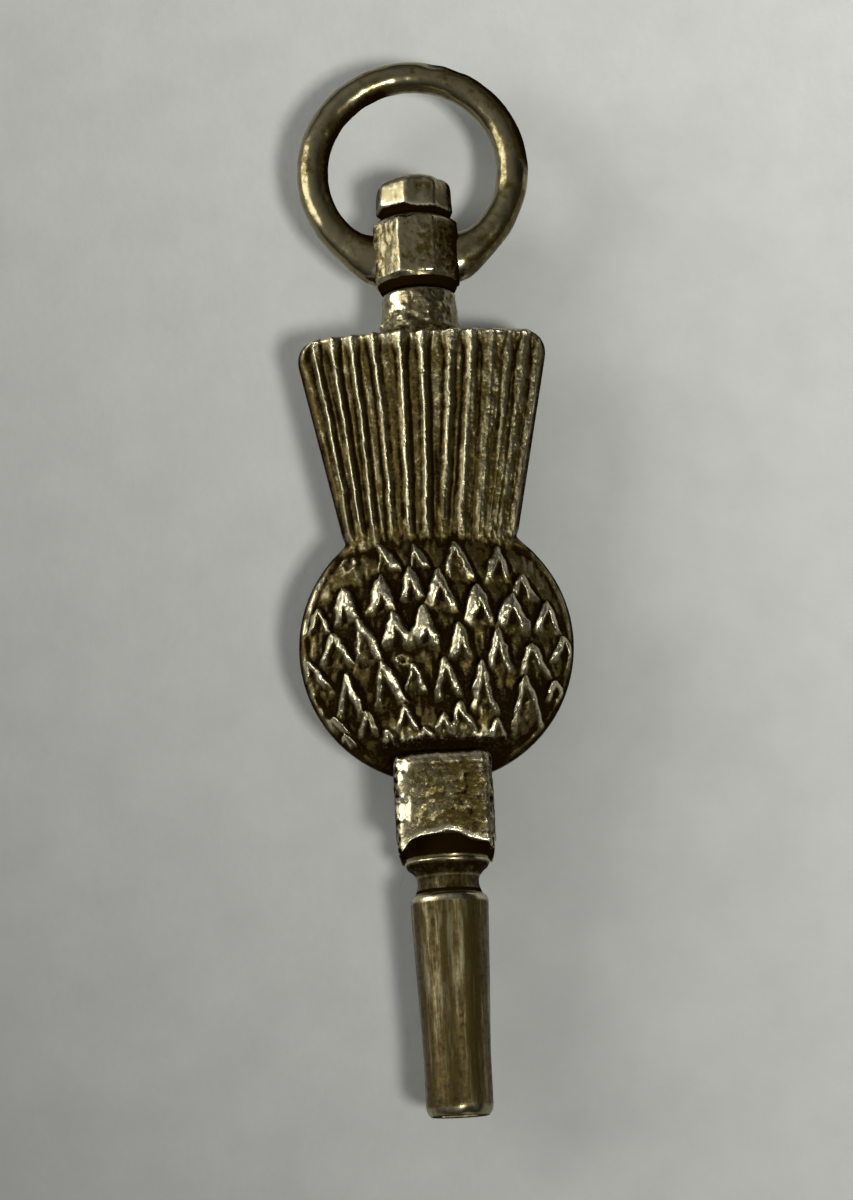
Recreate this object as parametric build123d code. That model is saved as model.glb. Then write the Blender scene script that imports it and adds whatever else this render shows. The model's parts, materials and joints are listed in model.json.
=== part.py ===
from build123d import *
import math
import os

# A watch key with a thistle body and a swivel bow, lying on its back.
# X runs across the key, Y from the mouth of its pipe to the top of its bow, and Z up from the table.
# Places along the key are stations: millimetres from the mouth, turned to Y when a piece is placed.

# Winding pipe
pipe_length = 8.6
mouth_radius = 1.31
mouth_land = 2.3
mouth_rounding = 0.3
shoulder_radius = 1.54
shoulder_rounding = 0.2
winding_square = 1.4
square_depth = 5.5
drill_radius = 0.72
drill_depth = 6.5
cove_length = 1.12
cove_radius = 1.2
flange_radius = 1.67
flange_lip = 0.06
flange_length = 0.42
drum_radius = 1.6
drum_length = 0.76
tenon_radius = 0.8
tenon_length = 1.5

# Ferrule, a square block on the pipe with a scooped arch in the lower end of each side
ferrule_width = 3.86
ferrule_corner_radius = 0.55
ferrule_body_length = 3.15
scoop_rise = 0.95
scoop_land = 0.2
band_length = 0.5
band_groove_depth = 0.05
band_groove_length = 0.12
ferrule_spigot_radius = 1.05
ferrule_spigot_length = 1.1

# Thistle, two hollow halves that meet on the plane of the key's axis
ball_radius = 5.47
ball_seat_length = 4.45
ball_half_depth = 2.9
ball_rim_height = 0.5
thistle_wall = 0.75
waist_rise = 4.35
waist_half_width = 3.47
fan_length = 8.5
fan_half_width = 5.22
fan_root_length = 1.4
fan_corner_radius = 1.1
fan_waist_depth = 1.45
fan_top_depth = 1.85
fan_front_radius = 11.3
rib_count = 12
rib_top_radius = 0.22
rib_waist_radius = 0.16
rib_spread_share = 0.93

# Scales of the ball, in rows whose tips point to the bow
scale_lift = 0.3
scale_pitch = 1.45
scale_width = 1.32
scale_point_length = 1.0
scale_length = 2.4
scale_root_width = 0.9
scale_thickness = 0.6
scale_tilt_degrees = 15
scale_row_droop = 0.55
scale_row_counts = (4, 7, 8, 9, 8)
scale_row_station_shares = (0.72, 0.5, 0.2, -0.14, -0.46)

# Core stem, the rod inside the thistle
stem_radius = 0.75
stem_gap = 0.1

# Neck stub on the fan
neck_length = 1.8
neck_top_radius = 1.5
neck_foot_radius = 1.6
neck_flare_radius = 1.82
neck_flare_length = 0.25
neck_edge = 0.12
neck_spigot_radius = 1.1
neck_spigot_length = 1.2
stem_seat_depth = 1.35

# Swivel: the bow's collar turns on the shank of the rivet
shank_radius = 0.6
shank_seat_depth = 1.3
swivel_clearance = 0.04
swivel_end_play = 0.05
head_width = 3.0
head_length = 1.92
head_rounding = 0.5
head_dome_rise = 0.3
head_under_chamfer = 0.3
collar_width = 3.4
collar_length = 3.08
collar_base_length = 0.45
collar_base_radius = 1.5
collar_top_chamfer = 0.12
octagon_sides = 8

# Bow ring
ring_mean_radius = 4.11
ring_wire_radius = 0.655
ring_rise = 2.17
ring_foot_radius = 0.92
ring_foot_length = 1.2

# Fits and cuts
seat_clearance = 0.01
cut_overrun = 1.0

# Stations, each worked out from the one before it, and the ball's dome
shoulder_station = pipe_length
flange_station = shoulder_station + cove_length
drum_station = flange_station + flange_length
drum_top_station = drum_station + drum_length
ferrule_floor_station = drum_top_station + seat_clearance
ferrule_foot_station = ferrule_floor_station - scoop_rise
ferrule_top_station = ferrule_floor_station + ferrule_body_length
ball_station = ferrule_top_station + ball_seat_length
waist_station = ball_station + waist_rise
fan_root_station = waist_station - fan_root_length
fan_top_station = waist_station + fan_length
neck_top_station = fan_top_station + neck_length
collar_station = neck_top_station + swivel_end_play
collar_top_station = collar_station + collar_length
head_station = collar_top_station + swivel_end_play
head_top_station = head_station + head_length
ring_station = collar_top_station + ring_rise
dome_apex_height = ball_half_depth - scale_lift
dome_rise = dome_apex_height - ball_rim_height
dome_radius = (ball_radius**2 + dome_rise**2) / (2 * dome_rise)
dome_centre_height = dome_apex_height - dome_radius
stem_start_station = drum_top_station + tenon_length + seat_clearance
stem_end_station = fan_top_station - neck_spigot_length + stem_seat_depth
key_length = ring_station + ring_mean_radius + ring_wire_radius


def placed(shape):
    """Moves a piece from stations and the seam plane to its place, its highest scale on the table."""
    rest_height = max(place.origin.Z for place in scale_places())
    return Pos(0, -key_length / 2, rest_height) * shape


def turned(outline):
    """Turns an outline of radius against station about the key's axis."""
    return revolve(make_face(outline), axis=Axis.Y)


def rod(radius, start, end):
    """A plain round bar along the key's axis, from one station to another."""
    profile = Polyline((0, start), (radius, start), (radius, end), (0, end), close=True)
    return turned(profile)


def square_bar(width, start, end, corner_radius=0):
    """A square bar along the key's axis, with its long edges rounded."""
    section = Rectangle(width, width) if corner_radius == 0 else RectangleRounded(width, width, corner_radius)
    return Plane.XZ.offset(-start) * extrude(section, start - end)


def octagonal_bar(width, start, end):
    """An eight-sided bar along the key's axis, with one flat facing up."""
    half_turn = 180 / octagon_sides
    section = RegularPolygon(width / 2, octagon_sides, major_radius=False, rotation=half_turn)
    return Plane.XZ.offset(-start) * extrude(section, start - end)


def octagon_corner_radius(width):
    """Distance from the axis to the corners of an octagonal bar."""
    return width / 2 / math.cos(math.pi / octagon_sides)


def winding_pipe():
    """The tapered pipe with its shoulder, cove, flange, drum and tenon, and the square socket."""
    land_edge = mouth_radius - mouth_rounding
    shoulder_edge = shoulder_radius - shoulder_rounding
    flange_edge = flange_radius - flange_lip
    cove_middle = shoulder_station + cove_length / 2
    tenon_top = drum_top_station + tenon_length
    outline = Line((0, 0), (land_edge, 0))
    outline += TangentArc((land_edge, 0), (mouth_radius, mouth_rounding), tangent=(1, 0))
    outline += Polyline(
        (mouth_radius, mouth_rounding),
        (mouth_radius, mouth_land),
        (shoulder_radius, shoulder_station - shoulder_rounding),
        (shoulder_edge, shoulder_station),
    )
    outline += ThreePointArc(
        (shoulder_edge, shoulder_station), (cove_radius, cove_middle), (flange_edge, flange_station)
    )
    outline += Polyline(
        (flange_edge, flange_station),
        (flange_radius, flange_station + flange_lip),
        (flange_radius, drum_station),
        (drum_radius, drum_station),
        (drum_radius, drum_top_station),
        (tenon_radius, drum_top_station),
        (tenon_radius, tenon_top),
        (0, tenon_top),
        (0, 0),
    )
    socket = square_bar(winding_square, -cut_overrun, square_depth)
    drilling = rod(drill_radius, -cut_overrun, drill_depth)
    return turned(outline) - socket - drilling


def ferrule():
    """The square block that joins the pipe to the thistle, with its arches, top band and spigot."""
    half_width = ferrule_width / 2
    half_span = half_width - scoop_land
    scoop_radius = (half_span**2 + scoop_rise**2) / (2 * scoop_rise)
    scoop_centre = ferrule_floor_station - scoop_radius
    groove_station = ferrule_top_station - band_length
    groove_width = ferrule_width - 2 * band_groove_depth
    block = square_bar(ferrule_width, ferrule_foot_station, ferrule_top_station, ferrule_corner_radius)
    groove = square_bar(ferrule_width + cut_overrun, groove_station - band_groove_length, groove_station)
    groove -= square_bar(
        groove_width,
        groove_station - band_groove_length,
        groove_station,
        ferrule_corner_radius - band_groove_depth,
    )
    scoop = Cylinder(scoop_radius, ferrule_width + cut_overrun)
    front_scoop = Pos(0, scoop_centre, 0) * scoop
    side_scoop = Pos(0, scoop_centre, 0) * Rot(0, 90, 0) * scoop
    pipe_seat = rod(flange_radius + seat_clearance, ferrule_foot_station - cut_overrun, ferrule_floor_station)
    spigot = rod(ferrule_spigot_radius, ferrule_top_station, ferrule_top_station + ferrule_spigot_length)
    tenon_bore = rod(tenon_radius + seat_clearance, ferrule_floor_station - cut_overrun, stem_start_station)
    stem_bore = rod(
        stem_radius + seat_clearance, stem_start_station, ferrule_top_station + ferrule_spigot_length + cut_overrun
    )
    return block - groove - front_scoop - side_scoop - pipe_seat + spigot - tenon_bore - stem_bore


def core_stem():
    """The rod from the ferrule to the neck, which carries the winding torque inside the thistle."""
    return rod(stem_radius, stem_start_station, stem_end_station - seat_clearance)


def ball_disc(radius):
    """An upright round block on the seam plane that bounds one half of the ball."""
    return Pos(0, ball_station, 0) * Cylinder(radius, ball_half_depth, align=(Align.CENTER, Align.CENTER, Align.MIN))


def ball_front(inset=0):
    """The ball without its scales: an upright rim and a domed front, drawn in by an inset all round."""
    dome = Pos(0, ball_station, dome_centre_height) * Sphere(dome_radius - inset)
    return ball_disc(ball_radius - inset) & dome


def fan_plan(inset=0):
    """The outline of the fan seen from the front, drawn in by an inset all round."""
    root_half_width = fan_half_width_at(fan_root_station) - inset
    top_half_width = fan_half_width_at(fan_top_station) - inset
    top = fan_top_station - inset
    outline = Polyline(
        (-root_half_width, fan_root_station),
        (root_half_width, fan_root_station),
        (top_half_width, top),
        (-top_half_width, top),
        close=True,
    )
    plan = make_face(outline)
    corners = plan.vertices().group_by(Axis.Y)[-1]
    return fillet(corners, fan_corner_radius)


def fan_half_width_at(station):
    """Half the width of the fan at a station, on its straight sides."""
    spread = (fan_half_width - waist_half_width) / fan_length
    return waist_half_width + spread * (station - waist_station)


def fan_floor_at(x, station):
    """Height of the fan's front, between its ribs, above the seam plane."""
    rise = (fan_top_depth - fan_waist_depth) / fan_length
    crown = fan_waist_depth + rise * (station - waist_station)
    return crown - fan_front_radius + math.sqrt(fan_front_radius**2 - x**2)


def fan_front(inset=0):
    """The plain front half of the fan, its face a shallow arch that deepens towards the bow."""
    prism = extrude(fan_plan(inset), fan_front_radius)
    root = Vector(0, fan_root_station, fan_floor_at(0, fan_root_station) - fan_front_radius)
    top = Vector(0, fan_top_station, fan_floor_at(0, fan_top_station) - fan_front_radius)
    direction = (top - root).normalized()
    length = (top - root).length + 2 * cut_overrun
    barrel = Solid.make_cylinder(
        fan_front_radius - inset, length, Plane(root - direction * cut_overrun, x_dir=(1, 0, 0), z_dir=direction)
    )
    return prism & barrel


def fan_ribs():
    """The narrow ribs that run down the fan and draw together at the waist."""
    ribs = []
    for index in range(rib_count):
        share = rib_spread_share * ((2 * index + 1) / rib_count - 1)
        start = rib_point(share, fan_root_station)
        end = rib_point(share, fan_top_station)
        run = end - start
        ribs.append(Solid.make_cone(rib_waist_radius, rib_top_radius, run.length, Plane(start, z_dir=run)))
    return ribs


def rib_point(share, station):
    """A point on the fan's floor, at a share of its half width."""
    x = share * fan_half_width_at(station)
    return Vector(x, station, fan_floor_at(x, station))


def scale_plate():
    """One pointed scale lying flat, its tip at the origin and its root towards -Y."""
    half_width = scale_width / 2
    half_root = scale_root_width / 2
    outline = Polyline(
        (0, 0),
        (half_width, -scale_point_length),
        (half_root, -scale_length),
        (-half_root, -scale_length),
        (-half_width, -scale_point_length),
        close=True,
    )
    return extrude(make_face(outline), -scale_thickness)


def scale_places():
    """Where each scale's tip stands on the ball: the tilted plane that its plate lies in."""
    centre = Vector(0, ball_station, dome_centre_height)
    places = []
    for count, station_share in zip(scale_row_counts, scale_row_station_shares):
        for index in range(count):
            x = (index - (count - 1) / 2) * scale_pitch
            y = station_share * ball_radius - scale_row_droop * (x / ball_radius) ** 2
            if math.hypot(x, y) < ball_radius:
                height = math.sqrt(dome_radius**2 - x**2 - y**2)
                outward = Vector(x, y, height).normalized()
                across = Vector(0, 1, 0).cross(outward).normalized()
                tilted = outward.rotate(Axis((0, 0, 0), across), scale_tilt_degrees)
                tip = centre + outward * (dome_radius + scale_lift)
                places.append(Plane(tip, x_dir=across, z_dir=tilted))
    return places


def thistle_half():
    """The front half of the thistle, hollow behind, with its ribs and scales."""
    plate = scale_plate()
    plates = [place.location * plate for place in scale_places()]
    scales = (Part() + plates) & ball_disc(ball_radius)
    ribs = (Part() + fan_ribs()) & extrude(fan_plan(), fan_front_radius)
    hollow = ball_front(thistle_wall) + fan_front(thistle_wall)
    stem_channel = rod(stem_radius + stem_gap, ferrule_top_station, fan_top_station - thistle_wall)
    neck_hole = rod(
        neck_spigot_radius + seat_clearance,
        fan_top_station - neck_spigot_length - seat_clearance,
        fan_top_station + cut_overrun,
    )
    spigot_hole = rod(
        ferrule_spigot_radius + seat_clearance,
        ferrule_top_station - cut_overrun,
        ferrule_top_station + ferrule_spigot_length + seat_clearance,
    )
    block_pocket = square_bar(
        ferrule_width + 2 * seat_clearance, ferrule_foot_station, ferrule_top_station + seat_clearance
    )
    body = ball_front() + fan_front() + ribs + scales
    return body - hollow - stem_channel - neck_hole - spigot_hole - block_pocket


def neck_stub():
    """The round stub on the fan that the bow stands on, with its spigot and two bores."""
    flare_top = fan_top_station + neck_flare_length
    spigot_start = fan_top_station - neck_spigot_length
    outline = Polyline(
        (0, spigot_start),
        (neck_spigot_radius, spigot_start),
        (neck_spigot_radius, fan_top_station),
        (neck_flare_radius, fan_top_station),
        (neck_foot_radius, flare_top),
        (neck_top_radius, neck_top_station - neck_edge),
        (neck_top_radius - neck_edge, neck_top_station),
        (0, neck_top_station),
        close=True,
    )
    stem_bore = rod(stem_radius + seat_clearance, spigot_start - cut_overrun, stem_end_station)
    shank_bore = rod(
        shank_radius + seat_clearance, neck_top_station - shank_seat_depth, neck_top_station + cut_overrun
    )
    return turned(outline) - stem_bore - shank_bore


def swivel_rivet():
    """The eight-sided domed head inside the ring, on the shank that the collar turns on."""
    corner = octagon_corner_radius(head_width)
    shoulder = head_top_station - head_dome_rise
    under_edge = corner - head_under_chamfer
    outline = Polyline(
        (0, head_station),
        (under_edge, head_station),
        (corner, head_station + head_under_chamfer),
        (corner, shoulder - head_rounding),
    )
    outline += TangentArc(
        (corner, shoulder - head_rounding), (corner - head_rounding, shoulder), tangent=(0, 1)
    )
    outline += Polyline(
        (corner - head_rounding, shoulder), (0, head_top_station), (0, head_station)
    )
    head = turned(outline) & octagonal_bar(head_width, head_station, head_top_station)
    shank_end = neck_top_station - shank_seat_depth + seat_clearance
    return head + rod(shank_radius, shank_end, head_station)


def bow_collar():
    """The eight-sided barrel that turns on the rivet and carries the ring."""
    corner = octagon_corner_radius(collar_width)
    outline = Polyline(
        (0, collar_station),
        (collar_base_radius, collar_station),
        (collar_width / 2, collar_station + collar_base_length),
        (corner, collar_station + collar_base_length),
        (corner, collar_top_station - collar_top_chamfer),
        (corner - collar_top_chamfer, collar_top_station),
        (0, collar_top_station),
        close=True,
    )
    barrel = turned(outline) & octagonal_bar(collar_width, collar_station, collar_top_station)
    bore_radius = shank_radius + swivel_clearance
    return barrel - rod(bore_radius, collar_station - cut_overrun, collar_top_station + cut_overrun)


def bow_ring():
    """The round wire ring, its two ends flared onto the sides of the collar."""
    ring = Pos(0, ring_station, 0) * Torus(ring_mean_radius, ring_wire_radius)
    half_collar = collar_width / 2
    drop = math.sqrt(ring_mean_radius**2 - half_collar**2)
    lean = math.degrees(math.asin(half_collar / ring_mean_radius))
    foot = Cone(
        ring_foot_radius,
        ring_wire_radius,
        ring_foot_length,
        align=(Align.CENTER, Align.CENTER, Align.MIN),
    )
    sunk = ring_foot_radius * half_collar / ring_mean_radius
    for side in (-1, 1):
        turn = Rot(0, 0, side * lean) * Rot(0, side * 90, 0)
        ring += Pos(side * half_collar, ring_station - drop, 0) * turn * Pos(0, 0, -sunk) * foot
    return ring - octagonal_bar(collar_width, collar_station, head_top_station)


half = thistle_half()
pieces = {
    "winding_pipe": winding_pipe(),
    "ferrule": ferrule(),
    "core_stem": core_stem(),
    "thistle_front": half,
    "thistle_back": mirror(half, about=Plane.XY),
    "neck_stub": neck_stub(),
    "swivel_rivet": swivel_rivet(),
    "bow_collar": bow_collar(),
    "bow_ring": bow_ring(),
}
os.makedirs("parts", exist_ok=True)
for name, shape in pieces.items():
    export_step(placed(shape), f"parts/{name}.step")
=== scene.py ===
import json
import math

import bmesh
import bpy
import numpy as np
from mathutils import Matrix, Vector, noise


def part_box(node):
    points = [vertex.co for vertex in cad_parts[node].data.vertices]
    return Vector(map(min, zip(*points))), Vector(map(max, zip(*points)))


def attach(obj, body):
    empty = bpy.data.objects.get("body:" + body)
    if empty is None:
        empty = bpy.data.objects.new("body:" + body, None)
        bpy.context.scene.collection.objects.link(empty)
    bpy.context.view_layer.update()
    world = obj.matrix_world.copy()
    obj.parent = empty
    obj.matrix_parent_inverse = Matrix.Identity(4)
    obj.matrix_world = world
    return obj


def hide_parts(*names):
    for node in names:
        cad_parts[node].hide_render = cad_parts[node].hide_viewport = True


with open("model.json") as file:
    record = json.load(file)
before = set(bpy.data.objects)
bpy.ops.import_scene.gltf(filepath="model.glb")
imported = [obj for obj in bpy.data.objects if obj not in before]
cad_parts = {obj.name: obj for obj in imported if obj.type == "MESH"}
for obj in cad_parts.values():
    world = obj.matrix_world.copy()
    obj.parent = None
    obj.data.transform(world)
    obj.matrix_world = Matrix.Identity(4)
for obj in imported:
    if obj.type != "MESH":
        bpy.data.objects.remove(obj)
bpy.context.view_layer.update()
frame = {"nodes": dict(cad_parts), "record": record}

bl_info = {
    "name": "Thistle watch key",
    "version": (1, 0, 0),
    "blender": (4, 5, 0),
    "location": "View3D > Sidebar > Watch key",
    "description": "Builds the worn surfaces of a thistle watch key over its solids",
    "category": "Object",
}

# Everything below is worked out in millimetres. X runs across the key, a station runs along it from the
# mouth of the pipe, and a height is measured from the key's axis. key_point turns them to the frame's metres.
MM = 0.001
BOXES = {name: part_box(name) for name in frame["nodes"]}
MOUTH_Y = BOXES["winding_pipe"][0].y
AXIS_Z = (BOXES["winding_pipe"][0].z + BOXES["winding_pipe"][1].z) / 2


def node_width(name):
    """How far a node reaches across the key, in millimetres."""
    return (BOXES[name][1].x - BOXES[name][0].x) / MM


def node_start(name):
    """The station at which a node begins."""
    return (BOXES[name][0].y - MOUTH_Y) / MM


def node_end(name):
    """The station at which a node ends."""
    return (BOXES[name][1].y - MOUTH_Y) / MM


# Stations of the key
SOCKET_END = 5.5  # floor of the winding square
PILOT_END = 6.5  # floor of the hole drilled for it
SHOULDER = 8.6  # end of the pipe's plain length
FLANGE = 9.62  # lower edge of the ring under the ferrule
DRUM = 9.95
DRUM_TOP = 10.9
FERRULE_TOP = 14.06
BALL = 18.51  # middle of the ball
WAIST = 22.86  # where the fan leaves the ball
FAN_TOP = 31.36
NECK_TOP = 33.16
SHANK_END = NECK_TOP - 1.2  # foot of the rivet's shank in the neck
COLLAR = node_start("bow_collar")
COLLAR_TOP = node_end("bow_collar")
HEAD = 36.34  # underside of the rivet's head
HEAD_TOP = node_end("swivel_rivet")
RING = 38.46  # middle of the ring

PILOT_RADIUS = 0.72
SHANK_RADIUS = 0.6
HEAD_TURN = 36  # degrees that the flats of the rivet's head are turned round

# The scales on the front, from the waist down to the ferrule: each one's tip as x and station, how far its
# left and right sides move across for each millimetre down, its length, how high it stands and how long
# its closed tip is before it parts into two arms
SCALES = (
    (-2.07, 22.59, -0.05, 0.55, 1.5, 0.85, 0.55), (-0.77, 22.44, -0.05, 0.50, 1.3, 0.55, 0.50),
    (0.90, 22.45, -0.22, 0.45, 2.0, 0.90, 0.45), (2.62, 22.25, -0.32, 0.28, 1.8, 0.50, 0.60),
    (-3.60, 20.81, -0.23, 0.43, 1.9, 1.10, 0.90), (-2.12, 21.13, -0.33, 0.36, 1.9, 0.95, 0.80),
    (-0.95, 21.43, -0.29, 0.36, 1.7, 0.90, 0.70), (0.28, 21.28, -0.40, 0.34, 2.1, 1.00, 0.80),
    (1.77, 20.52, -0.42, 0.34, 2.0, 0.95, 0.70), (3.08, 20.20, -0.44, 0.38, 1.9, 0.90, 0.70),
    (4.47, 19.95, -0.45, 0.34, 1.6, 0.60, 0.50), (-4.08, 18.98, -0.36, 0.56, 1.6, 0.85, 0.45),
    (-3.01, 19.39, -0.10, 0.53, 2.1, 1.00, 0.55), (-1.58, 19.53, -0.33, 0.46, 1.7, 0.95, 0.70),
    (-0.45, 19.74, -0.42, 0.33, 2.0, 1.05, 1.00), (0.95, 18.98, -0.31, 0.29, 1.7, 1.00, 0.75),
    (2.46, 18.79, -0.30, 0.28, 2.2, 0.90, 0.80), (3.76, 18.10, -0.45, 0.50, 1.6, 0.85, 0.40),
    (-3.66, 17.29, -0.22, 0.41, 2.3, 1.05, 0.60), (-2.16, 17.68, -0.20, 0.50, 2.2, 1.00, 0.60),
    (-1.04, 17.45, -0.22, 0.47, 1.4, 0.55, 0.35), (0.28, 17.67, -0.24, 0.36, 2.0, 1.10, 0.60),
    (1.70, 17.46, -0.25, 0.29, 2.5, 1.15, 0.70), (3.39, 16.85, -0.30, 0.34, 2.7, 1.20, 0.45),
    (4.58, 16.75, -0.36, 0.50, 1.0, 0.90, 0.35), (0.79, 15.89, -0.35, 0.45, 1.3, 0.80, 0.50),
    (0.10, 15.50, -0.35, 0.40, 1.0, 0.65, 0.45), (-4.16, 15.70, -0.30, 0.60, 0.9, 0.80, 0.30),
    (-3.80, 15.05, -0.40, 0.60, 0.7, 0.75, 0.30), (-5.15, 18.10, -0.10, 0.60, 1.4, 0.80, 0.30),
    (-2.90, 15.85, -0.30, 0.40, 1.2, 0.50, 0.45), (-1.40, 15.95, -0.30, 0.38, 1.3, 0.40, 0.40),
    (2.25, 15.30, -0.35, 0.35, 1.0, 0.40, 0.40), (-2.05, 15.00, -0.40, 0.45, 0.8, 0.30, 0.35),
    (-0.65, 15.05, -0.40, 0.45, 0.8, 0.30, 0.35),
    (3.48, 21.04, -0.31, 0.45, 1.3, 0.35, 0.40), (5.02, 18.60, -0.40, 0.40, 1.3, 0.40, 0.40),
    (-4.70, 20.10, -0.35, 0.45, 1.3, 0.40, 0.35), (4.60, 15.60, -0.40, 0.40, 0.9, 0.35, 0.35),
)
# Small curls pressed between the scales: x, station and radius
CURLS = ((-3.35, 21.85, 0.27), (-1.35, 17.60, 0.20), (4.62, 16.30, 0.30))
# The ribs of the fan: each one's share of the half width at the waist and at the top, its strength and breadth
RIBS = (
    (-0.985, -0.955, 0.10, 1.0), (-0.915, -0.835, 1.00, 0.85), (-0.785, -0.690, 1.10, 0.95),
    (-0.640, -0.530, 0.95, 0.85), (-0.425, -0.362, 1.00, 0.90), (-0.240, -0.152, 1.10, 1.05),
    (-0.038, 0.018, 1.05, 1.10), (0.140, 0.250, 1.00, 1.10), (0.340, 0.412, 0.95, 1.30),
    (0.560, 0.575, 0.60, 1.80), (0.680, 0.700, 0.40, 1.50), (0.775, 0.825, 0.55, 1.50), (0.960, 0.945, 0.40, 1.10),
)
# The lower edge of the ferrule's front, filed by hand: x and station
ARCH_EDGE = (
    (-1.80, 9.97), (-1.61, 10.26), (-1.40, 10.54), (-1.00, 10.72), (-0.22, 10.83), (0.10, 10.90),
    (0.48, 10.82), (0.93, 10.57), (1.35, 10.44), (1.62, 10.38), (1.80, 9.97),
)
# Dents and nicks, each with x, station, height, how wide and how deep
PIPE_DENTS = ((0.42, 0.04, 1.15, 0.30, 0.08), (-0.45, 6.9, 1.4, 0.5, 0.02), (0.7, 3.1, 1.1, 0.6, 0.02))
FERRULE_DENTS = ((-1.9, 13.35, 1.75, 0.16, 0.07), (-1.85, 12.3, 1.8, 0.35, 0.05), (-1.9, 11.6, 1.75, 0.25, 0.05),
                 (1.9, 13.2, 1.8, 0.2, 0.04), (-1.55, 13.95, 1.75, 0.42, 0.11))
NECK_DENTS = ((-1.2, 32.0, 0.9, 0.25, 0.05), (0.6, 32.2, 1.35, 0.2, 0.05), (0.2, 32.75, 1.45, 0.15, 0.04))
HEAD_DENTS = ((0.25, 37.35, 1.45, 0.18, 0.05), (0.72, 37.25, 1.3, 0.2, 0.05), (1.1, 37.9, 0.9, 0.35, 0.06))
COLLAR_DENTS = ((-0.35, 36.05, 1.65, 0.14, 0.07), (-1.15, 34.9, 1.15, 0.3, 0.03), (1.2, 35.2, 1.1, 0.35, 0.03))
RING_DENTS = (
    (1.05, 42.9, 0.35, 0.35, 0.07), (2.0, 42.5, 0.3, 0.5, 0.05), (-2.7, 41.5, 0.45, 0.3, 0.05),
    (-3.1, 41.1, 0.4, 0.35, 0.05), (-3.9, 37.2, 0.3, 0.6, 0.03), (-2.8, 35.6, 0.5, 0.35, 0.05),
)
# Small filed flats: the way each faces as a turn in degrees, its station, how far it lies from the axis, its
# half length and its lean towards the bow in degrees
FERRULE_FLATS = ((129, 11.75, 2.33, 0.5, 0), (127, 13.55, 2.29, 0.26, 8))
NECK_FLATS = ((127, 32.62, 1.50, 0.42, 0),)

# The stage's lamps: the way to each from the key, its distance, width and height in metres, and its watts
LAMPS = (
    ("window_left", (-0.87, 0.28, 0.40), 0.30, 0.17, 0.23, 0.58),
    ("lamp_above", (0.29, -0.34, 0.895), 0.35, 0.058, 0.058, 0.76),
)
LAMP_TONE = "#fffffb"
PAPER_HALF_WIDTH = 0.6  # metres
CAMERA_RISE = 78  # degrees above the paper, towards the pipe's end
CAMERA_ROLL = 2.9  # degrees
CAMERA_DISTANCE = 130.0
CAMERA_AIM = 20.87  # the station under the camera's middle
CAMERA_SHIFT = (-0.28, -0.41)  # right and up in the picture


def length(name, description, millimetres):
    """A size that the sidebar shows as a length."""
    return bpy.props.FloatProperty(
        name=name, description=description, default=millimetres * MM, min=0, precision=5,
        subtype="DISTANCE", unit="LENGTH",
    )


def to_linear(hex_colour):
    """Turns an sRGB hex colour to the linear RGBA that Blender's shaders take."""
    channels = [int(hex_colour[i:i + 2], 16) / 255 for i in (1, 3, 5)]
    linear = [c / 12.92 if c <= 0.04045 else ((c + 0.055) / 1.055) ** 2.4 for c in channels]
    return (*linear, 1.0)


def tint(name, description, hex_colour):
    """A colour that the sidebar shows as a swatch."""
    return bpy.props.FloatVectorProperty(
        name=name, description=description, default=to_linear(hex_colour), size=4, min=0, max=1, subtype="COLOR",
    )


class WATCHKEY_PG_sizes(bpy.types.PropertyGroup):
    """Sizes of the key's pieces."""

    mouth_radius: length("Mouth radius", "Outside of the pipe at its mouth", 1.31)
    shoulder_radius: length("Shoulder radius", "Outside of the pipe at its shoulder", 1.54)
    cove_radius: length("Cove radius", "Narrowest turning between the shoulder and the flange", 1.2)
    flange_radius: length("Flange radius", "Ring under the ferrule", node_width("winding_pipe") / 2)
    drum_radius: length("Drum radius", "Plain turning under the ferrule's arches", 1.6)
    socket_width: length("Socket width", "Across the flats of the winding square", 1.4)
    ferrule_width: length("Ferrule width", "Across the square block", node_width("ferrule"))
    ball_radius: length("Ball radius", "Outline of the ball from the front", node_width("thistle_front") / 2)
    dome_radius: length("Dome radius", "Curve of the ball's face", 8.18)
    dome_height: length("Dome height", "The ball's face above the seam, between its scales", 2.48)
    scale_lift: length("Scale lift", "Tip of a scale above the ball's face", 0.37)
    waist_half_width: length("Waist half width", "Half of the fan where it leaves the ball", 3.47)
    fan_half_width: length("Fan half width", "Half of the fan at its top", 5.22)
    fan_corner_radius: length("Fan corner radius", "Rounding of the fan's upper corners", 1.1)
    fan_waist_depth: length("Fan waist depth", "The fan's face above the seam at the waist", 1.42)
    fan_top_depth: length("Fan top depth", "The fan's face above the seam at its top", 1.80)
    fan_front_radius: length("Fan front radius", "Curve across the fan's face", 11.3)
    rib_height: length("Rib height", "Crest of a rib above the groove beside it", 0.23)
    neck_radius: length("Neck radius", "Stub between the fan and the collar", 1.5)
    head_width: length("Head width", "Across the flats of the rivet's head", 3.0)
    collar_width: length("Collar width", "Across the flats of the bow's collar", 3.4)
    ring_radius: length("Ring radius", "Middle of the bow's wire", 4.11)
    wire_radius: length("Wire radius", "Thickness of the bow's wire, as a radius", 0.65)


class WATCHKEY_PG_colours(bpy.types.PropertyGroup):
    """Colours of the key's metal at its stages of wear, and of the paper under it."""

    worn: tint("Worn metal", "Metal that handling keeps bright", "#c3ba9b")
    mellow: tint("Mellow metal", "Metal under a thin tarnish", "#847b5e")
    tarnish: tint("Tarnish", "Thicker brown film", "#4e4119")
    # Deposit in the recesses, and also painted shade where a piece's marks blacken shaded places
    dirt: tint("Dirt", "Black-brown deposit in the hollows", "#180e02")
    steel: tint("Steel", "Drawn rod inside the thistle", "#8c8c8e")
    paper: tint("Paper", "Pale sheet that the key lies on", "#c5c6c2")


def mm(name):
    """One of the sizes, in millimetres."""
    return getattr(bpy.context.scene.watch_key_sizes, name) / MM


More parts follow.
